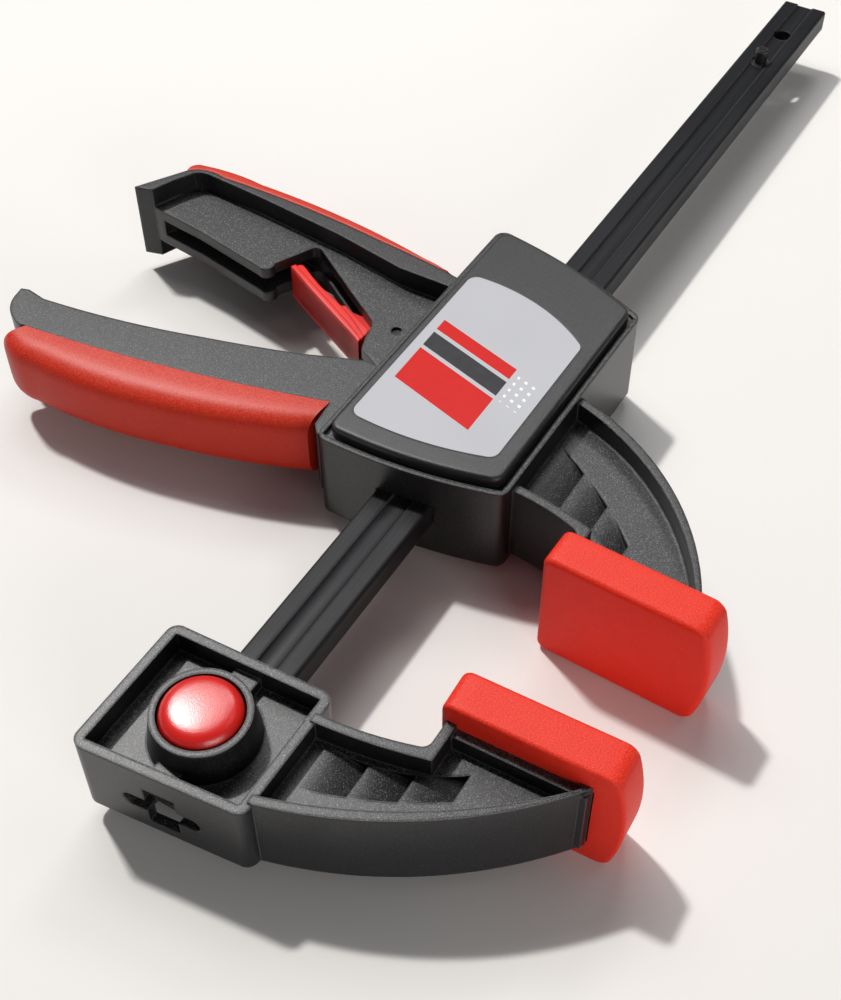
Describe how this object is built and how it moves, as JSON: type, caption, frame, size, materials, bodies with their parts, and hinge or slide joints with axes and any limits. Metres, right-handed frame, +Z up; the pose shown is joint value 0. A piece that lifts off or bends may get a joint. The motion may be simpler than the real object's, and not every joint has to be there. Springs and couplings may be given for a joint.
{
  "type": "quick release bar clamp",
  "caption": "One-handed bar clamp with a fixed jaw on the rail's end, a sliding jaw with a pump lever, a rear handle, a release trigger and soft jaw pads.",
  "frame": {"origin": "middle of the fixed jaw's clamping face", "axes": "+X along the rail from the fixed jaw towards the sliding jaw, +Y from the jaws' tips towards the handles, +Z up with the clamp lying on its side"},
  "size_m": [0.3821, 0.2223, 0.035],
  "materials": {
    "rail_steel": "satin blackened steel",
    "black_nylon": "fine grained glass-filled nylon",
    "cover_nylon": "fine grained glass-filled nylon",
    "red_rubber": "soft matt rubber",
    "red_grip": "soft satin rubber",
    "red_plastic": "smooth moulded plastic",
    "button_plastic": "polished moulded plastic",
    "label_grey": "printed satin plastic",
    "pin_steel": "ground steel",
    "plate_steel": "hardened steel",
    "spring_steel": "drawn spring wire",
    "screw_steel": "zinc plated steel"
  },
  "bodies": {
    "rail_frame": {"rail": "rail_steel", "stop_pin": "pin_steel", "fixed_jaw": "black_nylon", "fixed_jaw_pad": "red_rubber"},
    "button": {"release_button": "button_plastic", "lock_pin": "pin_steel", "lock_pin_clip": "spring_steel", "button_spring": "spring_steel"},
    "sliding_jaw": {"sliding_housing": "black_nylon", "upper_cover": "cover_nylon", "lower_cover": "cover_nylon", "label_plate": "label_grey", "cover_screws": "screw_steel", "sliding_jaw_pad": "red_rubber", "rear_handle_grip": "red_grip", "lever_pivot_pin": "pin_steel", "trigger_pivot_pin": "pin_steel", "drive_spring": "spring_steel", "brake_spring": "spring_steel"},
    "pump_lever": {"pump_lever": "black_nylon", "pump_lever_grip": "red_grip"},
    "release_trigger": {"release_trigger": "red_plastic"},
    "drive_plates": {"drive_plate_front": "plate_steel", "drive_plate_rear": "plate_steel"},
    "brake_plate": {"brake_plate": "plate_steel"}
  },
  "joints": [
    {"name": "jaw_slide", "type": "slide", "parent": "rail_frame", "child": "sliding_jaw", "axis": [1, 0, 0], "range_m": [-0.0333, 0.1405]},
    {"name": "pump_lever_pivot", "type": "hinge", "parent": "sliding_jaw", "child": "pump_lever", "pos_m": [0.0582, 0.05, 0], "axis": [0, 0, -1], "range_deg": [0, 15], "stiffness_Nm_per_rad": 1.5, "springref_deg": -20.05},
    {"name": "drive_plates_slide", "type": "slide", "parent": "sliding_jaw", "child": "drive_plates", "axis": [1, 0, 0], "range_m": [0, 0.0089], "deforming": ["drive_spring"]},
    {"name": "trigger_pivot", "type": "hinge", "parent": "sliding_jaw", "child": "release_trigger", "pos_m": [0.0963, 0.0995, 0], "axis": [0, 0, -1], "range_deg": [0, 7.5], "stiffness_Nm_per_rad": 0.5, "springref_deg": -17.19},
    {"name": "brake_plate_tilt", "type": "hinge", "parent": "sliding_jaw", "child": "brake_plate", "pos_m": [0.0928, 0.0755, 0], "axis": [0, 0, 1], "range_deg": [0, 5.9]},
    {"name": "button_press", "type": "slide", "parent": "rail_frame", "child": "button", "axis": [0, 0, -1], "range_m": [0, 0.003], "stiffness_N_per_m": 800, "springref_m": -0.004, "deforming": ["button_spring"]}
  ],
  "couplings": [
    {"joint": "drive_plates_slide", "follows": "pump_lever_pivot", "m_per_rad": 0.0335},
    {"joint": "brake_plate_tilt", "follows": "trigger_pivot", "ratio": 0.777}
  ]
}
